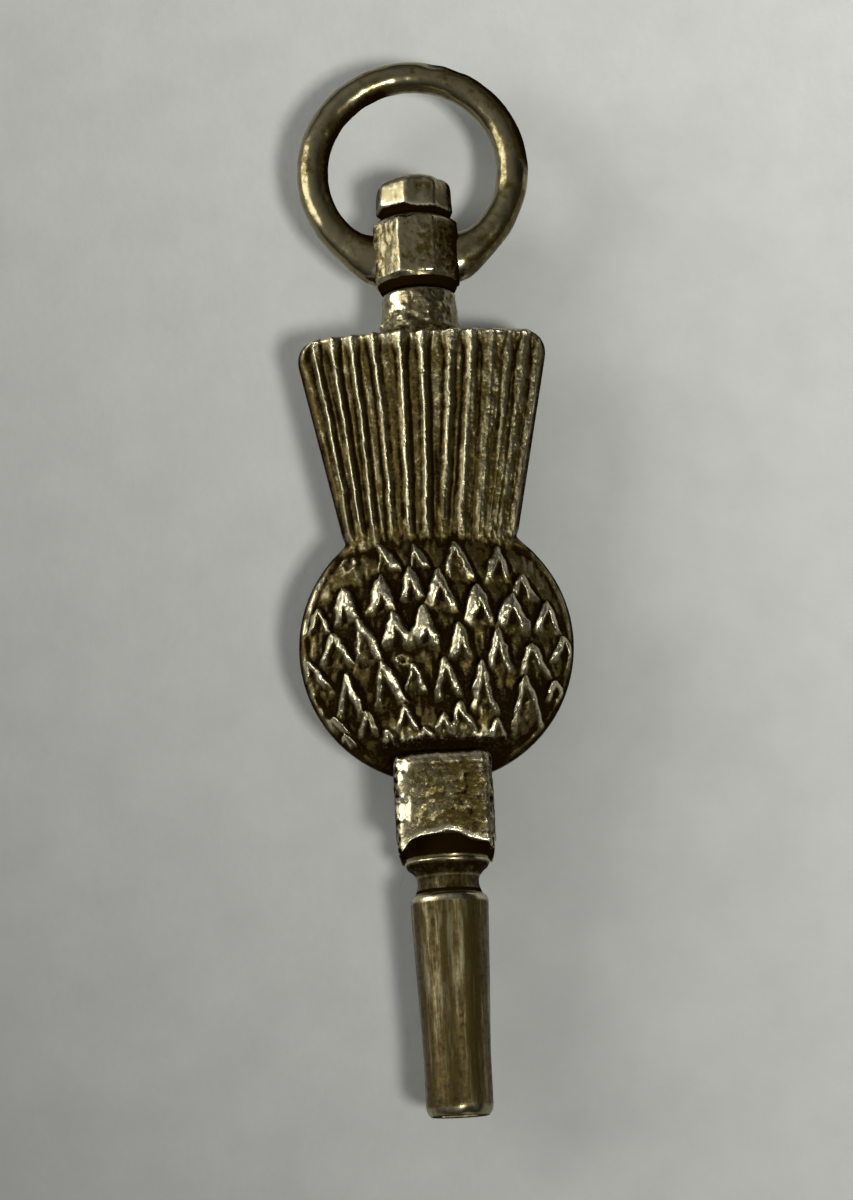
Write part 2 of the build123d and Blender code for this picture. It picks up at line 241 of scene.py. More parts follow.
def colour(name):
    """One of the colours, as linear RGBA."""
    return tuple(getattr(bpy.context.scene.watch_key_colours, name))


def key_point(x, station, height):
    """A point of the key, from millimetres to the frame's metres."""
    return Vector((x * MM, MOUTH_Y + station * MM, AXIS_Z + height * MM))


# Turned, filed and bent pieces


def round_reach(turn):
    """A plain circle's reach, the same at every turn."""
    return 1.0


def polygon_reach(sides, sharpness, first=0.0):
    """How far a regular polygon with worn corners reaches at a turn, as a share of its inner radius."""
    def reach(turn):
        flats = (max(0.0, math.cos(turn - first - i * math.tau / sides)) ** sharpness for i in range(sides))
        return sum(flats) ** (-1 / sharpness)
    return reach


def section(station, radius, reach=round_reach):
    """A cross-section of a piece that runs along the key's axis."""
    def place(turn):
        out = radius * reach(turn)
        return key_point(out * math.cos(turn), station, out * math.sin(turn))
    return place


def sections(outline, reach=round_reach):
    """The cross-sections at an outline's stations and radii."""
    return [section(station, radius, reach) for station, radius in outline]


def finely(points, step):
    """Adds points to an outline of stations and radii so that none are further apart than the step."""
    fine = [points[0]]
    for start, end in zip(points, points[1:]):
        parts = max(1, math.ceil(math.dist(start, end) / step))
        fine += [tuple(a + (b - a) * i / parts for a, b in zip(start, end)) for i in range(1, parts + 1)]
    return fine


def arc(centre, radius, start, end, parts):
    """Points of an arc in an outline of stations and radii, its angles in degrees from the axis."""
    angles = [math.radians(start + (end - start) * i / parts) for i in range(parts + 1)]
    return [(centre[0] + radius * math.cos(a), centre[1] + radius * math.sin(a)) for a in angles]


def extruded(bm, edges):
    """Extrudes a loop of edges, and returns the new loop's edges and vertices."""
    fresh = bmesh.ops.extrude_edge_only(bm, edges=edges)["geom"]
    verts = {item for item in fresh if isinstance(item, bmesh.types.BMVert)}
    return [e for e in fresh if isinstance(e, bmesh.types.BMEdge) and verts.issuperset(e.verts)], verts


def lofted(rings, sides):
    """Extrudes a circle of edges from ring to ring, laying each new vertex on its ring."""
    bm = bmesh.new()
    turn = bm.verts.layers.float.new("turn")
    bmesh.ops.create_circle(bm, cap_ends=False, segments=sides, radius=1)
    for vert in bm.verts:
        vert[turn] = math.atan2(vert.co.y, vert.co.x)
        vert.co = rings[0](vert[turn])
    edges = bm.edges[:]
    for ring in rings[1:]:
        edges, verts = extruded(bm, edges)
        for vert in verts:
            vert.co = ring(vert[turn])
    bmesh.ops.remove_doubles(bm, verts=bm.verts, dist=1e-8)
    bmesh.ops.recalc_face_normals(bm, faces=bm.faces)
    bm.normal_update()
    return bm


def clamped(value):
    """A number held between 0 and 1."""
    return min(1.0, max(0.0, value))


def station_of(vert):
    """The station of a vertex."""
    return (vert.co.y - MOUTH_Y) / MM


def roughen(bm, amount, size, seed, start, end, detail=3):
    """Moves a surface in and out along its normals by noise, between two stations.

    amount is how far in millimetres, and size how wide the largest lumps are.
    """
    bm.normal_update()
    moves = []
    for vert in bm.verts:
        inside = clamped(min(station_of(vert) - start, end - station_of(vert)) / 0.15)
        if inside > 0:
            spot = vert.co / (size * MM) + Vector((seed, 2.7 * seed, 0))
            moves.append((vert, vert.normal * (noise.fractal(spot, 0.8, 2.0, detail) * amount * MM * inside)))
    for vert, move in moves:
        vert.co += move


def dent(bm, dents):
    """Presses small hollows into a surface."""
    bm.normal_update()
    for x, station, height, width, depth in dents:
        centre = key_point(x, station, height)
        for vert in bm.verts:
            near = (vert.co - centre).length / (width * MM)
            if near < 2.5:
                vert.co -= vert.normal * (depth * MM * math.exp(-near * near))


def file_flat(bm, flats):
    """Files small flats with ragged ends into a surface, and marks them as filed so that they stay bright."""
    filed = bm.verts.layers.float.new("filed")
    for turn, station, reach, half_length, lean in flats:
        turn, lean = math.radians(turn), math.radians(lean)
        face = Vector((math.cos(turn) * math.cos(lean), math.sin(lean), math.sin(turn) * math.cos(lean)))
        for vert in bm.verts:
            spot = (vert.co - key_point(0, station, 0)) / MM
            ragged = 0.9 * noise.noise(vert.co * (3.2 / MM)) + 0.5 * noise.noise(vert.co * (8 / MM))
            share = clamped((1.1 + ragged - abs(spot.y) / half_length) / 0.4)
            over = spot.dot(face) - reach
            if over > 0 and share > 0:
                vert.co -= face * (over * share * MM)
                vert[filed] = max(vert[filed], share * min(1.0, over / 0.03))


def weather_and_shade(mesh, passes, depth, grime_and_shade_bands=()):
    """Stores how sunk and how raised each vertex is, which the finishes read as deposit, wear and painted shade.

    grime_and_shade_bands holds bands along the key, each with its two stations and how black it is, for deposit and
    for painted shade in recesses and under parts; below 0 it is rubbed bright.
    """
    count = len(mesh.vertices)
    places = np.empty(count * 3)
    normals = np.empty(count * 3)
    ends = np.empty(len(mesh.edges) * 2, dtype=np.int64)
    mesh.vertices.foreach_get("co", places)
    mesh.vertices.foreach_get("normal", normals)
    mesh.edges.foreach_get("vertices", ends)
    places, normals, ends = places.reshape(-1, 3), normals.reshape(-1, 3), ends.reshape(-1, 2)
    degree = np.bincount(ends.ravel(), minlength=count)[:, None]
    # The surface smoothed over its edges lies above the hollows and below the crests
    smooth = places.copy()
    for _ in range(passes):
        total = np.zeros_like(smooth)
        np.add.at(total, ends[:, 0], smooth[ends[:, 1]])
        np.add.at(total, ends[:, 1], smooth[ends[:, 0]])
        smooth = 0.5 * smooth + 0.5 * total / degree
    sunk = np.einsum("ij,ij->i", smooth - places, normals) / (depth * MM)
    hollow = np.clip(0.4 + 0.6 * sunk, 0, 1)
    proud = np.clip(-sunk, 0, 1)
    if "filed" in mesh.attributes:
        filed = np.array([item.value for item in mesh.attributes["filed"].data])
        hollow, proud = hollow * (1 - filed), np.maximum(proud, filed)
    station = (places[:, 1] - MOUTH_Y) / MM
    for start, end, black in grime_and_shade_bands:
        band = smooth_share(station, start - 0.06, start + 0.06)
        band = band * (1 - smooth_share(station, end - 0.06, end + 0.06))
        hollow = np.maximum(hollow * (1 - band * max(0, -black)), band * black)
        proud = np.maximum(proud * (1 - band * max(0, black)), -band * black)
    store(mesh, "hollow", hollow)
    store(mesh, "proud", proud)


def store(mesh, name, values):
    """Writes one number per vertex."""
    attribute = mesh.attributes.new(name, "FLOAT", "POINT")
    attribute.data.foreach_set("value", np.asarray(values, dtype=np.float32))


def darken_sides(mesh, inner, outer, black):
    """Blackens the left and right sides of a piece with painted shade, where they turn sideways."""
    for vert, hollow in zip(mesh.vertices, mesh.attributes["hollow"].data):
        share = clamped((abs(vert.co.x) / MM - inner) / (outer - inner))
        hollow.value = max(hollow.value, black * share)


def shade(mesh, start, end, amount):
    """Adds painted shade that grows across the key from one x to another."""
    for vert, hollow in zip(mesh.vertices, mesh.attributes["hollow"].data):
        hollow.value += amount * clamped((vert.co.x / MM - start) / (end - start))


def finished(bm, name, finish, node, sharp_degrees=180):
    """Makes the piece an object in the scene that stands for its node, with its finish and its body."""
    mesh = bpy.data.meshes.new(name)
    bm.to_mesh(mesh)
    bm.free()
    mesh.shade_smooth()
    if sharp_degrees < 180:
        mesh.set_sharp_from_angle(angle=math.radians(sharp_degrees))
    mesh.materials.append(bpy.data.materials[finish])
    piece = bpy.data.objects.new(name, mesh)
    bpy.context.scene.collection.objects.link(piece)
    body = next(b for b, members in frame["record"]["behaviour"]["bodies"].items() if node in members)
    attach(piece, body)
    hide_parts(node)
    return piece


# Finishes


def add(tree, kind, inputs=None, output=0, **settings):
    """Adds a node with its settings, fills or links its inputs, and returns the output to link on from."""
    node = tree.nodes.new("ShaderNode" + kind)
    for key, value in settings.items():
        setattr(node, key, value)
    for key, value in (inputs or {}).items():
        if isinstance(value, bpy.types.NodeSocket):
            tree.links.new(value, node.inputs[key])
        else:
            node.inputs[key].default_value = value
    return node.outputs[output] if node.outputs else None


def blank(name):
    """A material with an empty node tree."""
    material = bpy.data.materials.new(name)
    material.use_nodes = True
    material.node_tree.nodes.clear()
    return material


def aged_metal(name, mottle, grain, pit, pit_depth, bright, film, pores, worn_roughness, film_roughness,
               draw=(1, 1, 1)):
    """Old brass in four layers: bright where it is worn, then mellow, brown film, and black-brown where deposit
    sits in the recesses and where shade is painted.

    mottle, grain and pit are the sizes in millimetres of the film's clouds, its specks and the pits, and
    pit_depth is in millimetres too. bright is how much of the surface wear has cleaned, film is how much of
    it the brown film covers, pores is how dark the pits are, and draw stretches the clouds along an axis.
    """
    tree = blank(name).node_tree
    spot = add(tree, "TexCoord", output="Object")
    even = add(tree, "Mapping", {"Vector": spot, "Scale": (1 / MM, 1 / MM, 1 / MM)})
    drawn = add(tree, "Mapping", {"Vector": spot, "Scale": tuple(1 / MM / d for d in draw)})
    clouds = add(tree, "TexNoise", {
        "Vector": drawn, "Scale": 1 / mottle, "Detail": 5.0, "Roughness": 0.62, "Distortion": 0.4})
    specks = add(tree, "TexNoise", {"Vector": drawn, "Scale": 1 / grain, "Detail": 4.0, "Roughness": 0.7})
    pits = add(tree, "TexNoise", {"Vector": even, "Scale": 1 / pit, "Detail": 3.0, "Roughness": 0.6})
    hollow = add(tree, "Attribute", output="Fac", attribute_name="hollow")
    proud = add(tree, "Attribute", output="Fac", attribute_name="proud")

    # Patches vary about 0.5, and each layer starts where they and the shape together pass its level
    patches = add(tree, "Math", {0: specks, 1: 0.4}, operation="MULTIPLY")
    patches = add(tree, "Math", {0: clouds, 1: 0.6, 2: patches}, operation="MULTIPLY_ADD")
    level = add(tree, "Math", {0: hollow, 1: 0.35, 2: patches}, operation="MULTIPLY_ADD")
    filmed = add(tree, "MapRange", {
        "Value": level, "From Min": 0.72 - 0.3 * film, "From Max": 0.86 - 0.3 * film},
        interpolation_type="SMOOTHSTEP")
    level = add(tree, "Math", {0: proud, 1: 0.4, 2: patches}, operation="MULTIPLY_ADD")
    worn = add(tree, "MapRange", {
        "Value": level, "From Min": 0.66 - 0.3 * bright, "From Max": 0.92 - 0.3 * bright},
        interpolation_type="SMOOTHSTEP")
    # The black-brown layer is deposit in the recesses, and painted shade where the marks were raised to blacken
    # shaded places
    level = add(tree, "Math", {0: patches, 1: 0.8, 2: hollow}, operation="MULTIPLY_ADD")
    level = add(tree, "Math", {0: pits, 1: -pores, 2: level}, operation="MULTIPLY_ADD")
    dirty = add(tree, "MapRange", {
        "Value": level, "From Min": 0.88 - 0.5 * pores, "From Max": 1.42 - 0.5 * pores},
        interpolation_type="SMOOTHSTEP")

    # A Mix node takes its colours at 6 and 7 and gives the mixed one at 2, and takes plain values at 2 and 3
    base = add(tree, "Mix", {0: filmed, 6: colour("mellow"), 7: colour("tarnish")}, 2, data_type="RGBA")
    base = add(tree, "Mix", {0: worn, 6: base, 7: colour("worn")}, 2, data_type="RGBA")
    base = add(tree, "Mix", {0: dirty, 6: base, 7: colour("dirt")}, 2, data_type="RGBA")
    dullness = add(tree, "MapRange", {"Value": worn, "To Min": film_roughness, "To Max": worn_roughness})
    dullness = add(tree, "Math", {0: dirty, 1: 0.3, 2: dullness}, operation="MULTIPLY_ADD")
    dullness = add(tree, "Math", {0: specks, 1: 0.1, 2: dullness}, operation="MULTIPLY_ADD")
    clean = add(tree, "MapRange", {"Value": filmed, "To Min": 1.0, "To Max": 0.8})
    clean = add(tree, "Mix", {0: worn, 2: clean, 3: 1.0}, data_type="FLOAT")
    metal = add(tree, "MapRange", {"Value": dirty, "To Min": 1.0, "To Max": 0.0})
    metal = add(tree, "Math", {0: metal, 1: clean}, operation="MULTIPLY")
    gloss = add(tree, "MapRange", {"Value": dirty, "To Min": 0.35, "To Max": 0.0})
    relief = add(tree, "Math", {0: specks, 1: 0.8, 2: pits}, operation="MULTIPLY_ADD")
    bump = add(tree, "Bump", {"Height": relief, "Distance": pit_depth * MM, "Strength": 1.0})
    shader = add(tree, "BsdfPrincipled", {
        "Base Color": base, "Metallic": metal, "Roughness": dullness, "Specular IOR Level": gloss, "Normal": bump})
    add(tree, "OutputMaterial", {"Surface": shader})


# The key's brass, by how each piece was made and worn, with the values that aged_metal explains
BRASSES = {
    # Turned and polished by hand: long brown and beige streaks along the pipe, faint pits and a soft shine
    "lathe_turned_brass": dict(
        mottle=0.5, grain=0.20, pit=0.24, pit_depth=0.005, bright=0.0, film=0.32, pores=0.5,
        worn_roughness=0.18, film_roughness=0.25, draw=(1, 12, 1)),
    # Cast and cut over with punches: bright crests, rough brown flanks and black grooves
    "cast_and_chased_brass": dict(
        mottle=0.6, grain=0.13, pit=0.08, pit_depth=0.018, bright=0.0, film=0.6, pores=0.6,
        worn_roughness=0.2, film_roughness=0.34),
    # Filed flat by hand: olive and beige mottling about half a millimetre wide, and open pores
    "filed_brass": dict(
        mottle=0.55, grain=0.11, pit=0.26, pit_depth=0.022, bright=0.26, film=0.60, pores=2.1,
        worn_roughness=0.14, film_roughness=0.22),
    # Solder run over a casting: lumpy, pitted and uneven in colour
    "pitted_solder_brass": dict(
        mottle=0.5, grain=0.14, pit=0.22, pit_depth=0.014, bright=0.44, film=0.42, pores=1.1,
        worn_roughness=0.14, film_roughness=0.24),
    # Facets rounded by fingers: smooth and mellow, with a thin film and small knocks
    "handled_brass": dict(
        mottle=0.8, grain=0.16, pit=0.20, pit_depth=0.010, bright=0.2, film=0.36, pores=1.3,
        worn_roughness=0.14, film_roughness=0.24),
    # Rubbed by the chain: a tight shine under a thin film, so that single facets flash
    "rubbed_brass": dict(
        mottle=0.7, grain=0.14, pit=0.16, pit_depth=0.004, bright=0.3, film=0.4, pores=0.7,
        worn_roughness=0.16, film_roughness=0.30),
    # Wire that a chain and fingers keep polished: a clear shine, with an olive film in soft clouds
    "polished_brass_wire": dict(
        mottle=1.4, grain=0.3, pit=0.14, pit_depth=0.003, bright=0.1, film=0.40, pores=0.3,
        worn_roughness=0.12, film_roughness=0.17),
}


def drawn_steel():
    """Plain drawn steel rod: grey, with fine scratches along its length about 0.1 mm apart."""
    tree = blank("drawn_steel").node_tree
    spot = add(tree, "TexCoord", output="Object")
    drawn = add(tree, "Mapping", {"Vector": spot, "Scale": (1 / MM, 0.06 / MM, 1 / MM)})
    lines = add(tree, "TexNoise", {"Vector": drawn, "Scale": 10.0, "Detail": 3.0})
    dullness = add(tree, "MapRange", {"Value": lines, "To Min": 0.25, "To Max": 0.5})
    bump = add(tree, "Bump", {"Height": lines, "Distance": 0.003 * MM})
    shader = add(tree, "BsdfPrincipled", {
        "Base Color": colour("steel"), "Metallic": 1.0, "Roughness": dullness, "Normal": bump})
    add(tree, "OutputMaterial", {"Surface": shader})


def plain_paper():
    """Matt paper: faint clouds about 3 mm wide, a fine tooth of fibres, and painted shade that darkens it towards
    the lower left.
    """
    tree = blank("plain_paper").node_tree
    spot = add(tree, "TexCoord", output="Object")
    clouds = add(tree, "TexNoise", {"Vector": spot, "Scale": 0.35 / MM, "Detail": 6.0, "Roughness": 0.6})
    fibres = add(tree, "TexNoise", {"Vector": spot, "Scale": 2.6 / MM, "Detail": 3.0})
    tone = add(tree, "MapRange", {
        "Value": clouds, "From Min": 0.3, "From Max": 0.7, "To Min": 0.94, "To Max": 1.03})
    # Painted shade: the paper's colour falls off towards the lower left, where the light is weaker
    leaning = add(tree, "VectorMath", {0: spot, 1: (1.0, 0.6, 0.0)}, "Value", operation="DOT_PRODUCT")
    painted_falloff = add(tree, "MapRange", {
        "Value": leaning, "From Min": -33 * MM, "From Max": 33 * MM, "To Min": 0.44, "To Max": 1.24})
    tone = add(tree, "Math", {0: tone, 1: painted_falloff}, operation="MULTIPLY")
    base = add(tree, "Mix", {0: 1.0, 6: colour("paper"), 7: tone}, 2, data_type="RGBA", blend_type="MULTIPLY")
    bump = add(tree, "Bump", {"Height": fibres, "Distance": 0.02 * MM})
    shader = add(tree, "BsdfPrincipled", {"Base Color": base, "Roughness": 0.9, "Normal": bump})
    add(tree, "OutputMaterial", {"Surface": shader})


# The thistle


def smooth_share(value, low, high):
    """0 below low, 1 above high, and a smooth curve between, over a whole field."""
    share = np.clip((value - low) / (high - low), 0, 1)
    return share * share * (3 - 2 * share)


def field_noise(across, along, cell_across, cell_along, seed):
    """Smooth noise from -1 to 1 over two fields, its cells sized in millimetres."""
    table = np.random.default_rng(seed).uniform(-1, 1, (256, 256))
    u, v = across / cell_across, along / cell_along
    column, row = np.floor(u).astype(int), np.floor(v).astype(int)
    fu, fv = u - column, v - row
    fu, fv = fu * fu * (3 - 2 * fu), fv * fv * (3 - 2 * fv)
    column, row, next_column, next_row = column % 256, row % 256, (column + 1) % 256, (row + 1) % 256
    low = table[row, column] * (1 - fu) + table[row, next_column] * fu
    high = table[next_row, column] * (1 - fu) + table[next_row, next_column] * fu
    return low * (1 - fv) + high * fv


def blurred(field, rows, columns):
    """A field with each value replaced by the mean of its surroundings, twice over."""
    for _ in range(2):
        for axis, reach in ((0, rows), (1, columns)):
            wide = np.pad(field, [(reach + 1, reach) if a == axis else (0, 0) for a in (0, 1)], mode="edge")
            total = np.cumsum(wide, axis=axis)
            window = 2 * reach + 1
            high = np.take(total, range(window, total.shape[axis]), axis=axis)
            low = np.take(total, range(total.shape[axis] - window), axis=axis)
            field = (high - low) / window
    return field


def fan_side(station):
    """Half of the fan's width at a station, on its straight sides."""
    spread = (mm("fan_half_width") - mm("waist_half_width")) / (FAN_TOP - WAIST)
    return mm("waist_half_width") + spread * (station - WAIST)


def outline_half_width(station):
    """Half of the thistle's width at a station, its corners and waist rounded."""
    ball = np.sqrt(np.maximum(mm("ball_radius") ** 2 - (station - BALL) ** 2, 0))
    side = fan_side(station)
    corner = mm("fan_corner_radius")
    into = np.clip(station - (FAN_TOP - corner), 0, corner)
    side = side - (corner - np.sqrt(np.maximum(corner**2 - into**2, 0)))
    joint = smooth_share(station, WAIST - 0.75, WAIST + 0.45)
    return ball * (1 - joint) + side * joint


def edge_distance(x, station):
    """How far inside the thistle's outline a point lies."""
    from_ball = mm("ball_radius") - np.hypot(x, station - BALL)
    corner = mm("fan_corner_radius")
    from_side = (fan_side(station) - np.abs(x)) * 0.98
    from_top = FAN_TOP - station
    around = corner - np.hypot(np.maximum(corner - from_side, 0), np.maximum(corner - from_top, 0))
    from_fan = np.where((from_side < corner) & (from_top < corner), around, np.minimum(from_side, from_top))
    return np.where(station > WAIST - 0.3, np.maximum(from_ball, from_fan), from_ball)


def fan_relief(x, station, seed):
    """The fan's face with its ribs, the fine furrows between them and its rough root."""
    crown = mm("fan_waist_depth") + (mm("fan_top_depth") - mm("fan_waist_depth")) * (
        station - WAIST) / (FAN_TOP - WAIST)
    face = crown - mm("fan_front_radius") + np.sqrt(mm("fan_front_radius") ** 2 - x**2)
    share = x / fan_side(station)
    up = np.clip((station - WAIST) / (FAN_TOP - WAIST), 0, 1)
    wander = 0.045 * field_noise(3, station, 1, 1.4, seed + 1)
    ribs = np.zeros_like(x)
    gouge = np.zeros_like(x)
    for index, (waist_share, top_share, strength, breadth) in enumerate(RIBS):
        # Each rib is a worn and nicked roof, with a gouge cut along its right foot or its left one
        middle = waist_share + (top_share - waist_share) * up
        off = (share - middle) * fan_side(station) + wander * (1 + 0.3 * math.sin(index * 2.1))
        off += 0.02 * field_noise(index * 7.7, station, 1, 0.25, seed + 7)
        half = breadth * (0.19 + 0.12 * smooth_share(station, FAN_TOP - 1.3, FAN_TOP - 0.3))
        nicks = smooth_share(field_noise(index * 5.3, station, 1, 0.16, seed + 2), 0.55, 0.95)
        worn = smooth_share(field_noise(index * 3.1, station, 1, 1.1, seed + 8), 0.1, 0.9)
        roof = np.clip(1 - np.sqrt(off**2 + 0.03**2) / half, 0, 1) ** 1.4
        ribs = np.maximum(ribs, roof * strength * (1 - 0.25 * nicks - 0.25 * worn))
        depth = (0.6 + 0.4 * math.sin(index * 4.7 + seed)) * min(1.0, 1.5 / breadth - 0.2)
        gouge = np.maximum(gouge, depth * np.exp(-((off - half - 0.05) / 0.06) ** 2))
        gouge = np.maximum(gouge, (1 - depth) * 0.8 * np.exp(-((off + half + 0.05) / 0.05) ** 2))
    furrows = 0.6 * field_noise(share * 30, station, 1, 2.6, seed + 3) + 0.4 * field_noise(
        share * 62, station, 1, 1.4, seed + 4)
    chips = field_noise(x, station, 0.13, 0.30, seed + 5) * 0.5 + field_noise(x, station, 0.33, 0.7, seed + 6) * 0.5
    ribbed = smooth_share(station, WAIST - 0.75, WAIST + 0.95) * (0.82 + 0.18 * up)
    rough = 0.036 + 0.02 * smooth_share(share, 0.3, 0.8) + 0.05 * smooth_share(WAIST + 1.3 - station, 0, 1.6)
    relief = ribbed * (mm("rib_height") * ribs - 0.12 * gouge) + 0.042 * furrows + rough * chips
    return face - 0.10 + relief


def scale_relief(x, station, seed, side):
    """The ball's face under its scales: each a low pyramid at its tip, then two arms with a dip between."""
    rng = np.random.default_rng(seed)
    radius = mm("dome_radius")
    dome = mm("dome_height") - radius + np.sqrt(np.maximum(radius**2 - x**2 - (station - BALL) ** 2, 1))
    ragged = station + 0.10 * field_noise(x, station, 0.35, 0.5, seed + 17)
    bluff = 0.50 * smooth_share(ragged, FERRULE_TOP + 0.02, FERRULE_TOP + 0.55)
    bluff = bluff * (1 - smooth_share(station, FERRULE_TOP + 0.4, FERRULE_TOP + 2.3))
    dome = dome + bluff * (1 - smooth_share(np.abs(x), 1.6, 3.0))
    relief = -0.08 + 0.045 * field_noise(x, station, 0.13, 0.34, seed + 10) + 0.04 * field_noise(
        x, station, 0.45, 0.6, seed + 12)
    cuts = np.zeros_like(x)
    for tip_x, tip_station, left, right, reach, stand, tip_length in SCALES:
        if side < 0:
            tip_x, left, right = -tip_x + rng.uniform(-0.1, 0.1), -right, -left
            tip_station += rng.uniform(-0.08, 0.08)
        lift = mm("scale_lift") * stand * (1 + rng.uniform(-0.08, 0.08))
        vein = rng.uniform(-0.4, 1.0)
        near = (np.abs(x - tip_x) < 2.0) & (station < tip_station + 0.2) & (station > tip_station - reach)

        # How far inside the scale's two sides, which part from its tip downwards, a point lies
        here = x[near], station[near]
        over = here[0] - tip_x + 0.09 * field_noise(*here, 0.42, 0.5, seed + 14)
        over = over + 0.035 * field_noise(*here, 0.12, 0.18, seed + 15)
        down = tip_station - here[1] + 0.06 * field_noise(*here, 0.35, 0.4, seed + 16)
        spread = np.where(down > 0, 0.8 * np.sqrt(np.abs(down) * (np.abs(down) + 1.6)), 3 * down)
        from_left = (over - left * spread + 0.04) * math.cos(math.atan(left))
        from_right = (right * spread + 0.04 - over) * math.cos(math.atan(right))
        inside = np.minimum(from_left, from_right)
        # The same for the hollow between its arms, which starts where its closed tip ends
        inner = np.minimum(from_left + 1.25 * left * tip_length, from_right - 1.1 * right * tip_length) - 0.04

        # It stands highest at its tip and sinks into the ball towards its foot
        fall = np.clip(1 - down / reach, 0, 1)
        fade = smooth_share(fall, 0, 0.4)
        tip = 1 - smooth_share(down, tip_length, tip_length + 1.0)
        roof = np.clip(np.minimum(from_left / 0.24, from_right / 0.36), 0, 1)
        roof = 1 - (1 - roof) ** 1.5
        floor = smooth_share(inner, -0.02, 0.10)
        veins = 0.08 * max(vein, 0) * np.exp(-((inner - 0.16) / 0.06) ** 2) * fall
        grain = 0.05 * field_noise(over, down, 0.12, 0.22, seed + 20) + 0.04 * field_noise(
            over, down, 0.3, 0.45, seed + 21)
        raised = lift * fall * fade + (0.07 + 0.11 * tip) * roof * (1 - floor) * fade
        raised = raised + floor * (veins - 0.12 * fade + grain)
        raised = raised + 0.02 * field_noise(*here, 0.10, 0.14, seed + 22)

        # Past its sides the ball is cut away, deepest in a groove along its right side
        edge = smooth_share(inside, -0.03, 0.06)
        raised = -0.13 + (raised + 0.13) * edge * smooth_share(fall, 0, 0.25)
        relief[near] = np.maximum(relief[near], np.where(down > -0.12, raised, -1))
        groove = np.exp(-((from_right + 0.06) / 0.07) ** 2) * (from_left > 0) * smooth_share(fall, 0, 0.2)
        cuts[near] = np.maximum(cuts[near], groove)
    relief = relief - 0.11 * cuts
    for curl_x, curl_station, curl_radius in CURLS:
        away = np.hypot(x - curl_x * side, station - curl_station)
        away = away + 0.10 * field_noise(x, station, 0.16, 0.16, seed + 24)
        ring = np.exp(-((away - curl_radius) / 0.08) ** 2)
        relief = relief + 0.20 * ring * (0.5 + 0.5 * field_noise(x, station, 0.22, 0.22, seed + 25))
    calm = smooth_share(mm("ball_radius") - np.hypot(x, station - BALL), 0.02, 0.45)
    return dome + relief * (0.25 + 0.75 * calm)


def thistle_height(x, station, seed, side):
    """A half's face above the seam: its ball and its fan, joined at the waist, and the lip round its edge."""
    ball = scale_relief(x, station, seed, side)
    fan = fan_relief(x, station, seed)
    joint = smooth_share(station, WAIST - 1.35, WAIST - 0.35)
    on_fan = np.where(station > WAIST - 1.35, fan * joint + ball * (1 - joint), ball)
    height = np.where(station > WAIST + 1.2, fan, np.maximum(np.where(station < WAIST + 0.1, ball, -1), on_fan))
    height += 0.012 * field_noise(x, station, 0.09, 0.09, seed + 30)
    inside = edge_distance(x, station)
    brim = np.clip(1 - inside / (0.24 + 0.18 * smooth_share(WAIST - station, -0.4, 0.4)), 0, 1)
    height = np.maximum(height, 0.3) * (1 - 0.62 * (1 - np.sqrt(1 - brim**2)))

    # A raised lip with a groove inside it runs round the ball and the fan's upper left corner
    corner = np.exp(-((x * side + 4.75) ** 2 + (station - 30.95) ** 2) / 0.4)
    lips = smooth_share(WAIST - station, 0.3, 1.2) + corner
    lips *= 0.12 * np.exp(-((inside - 0.16) / 0.08) ** 2) - 0.10 * np.exp(-((inside - 0.36) / 0.10) ** 2)
    return np.clip(height + lips * (0.6 + 0.4 * field_noise(x, station, 0.5, 0.5, seed + 31)), 0.12, 2.85)


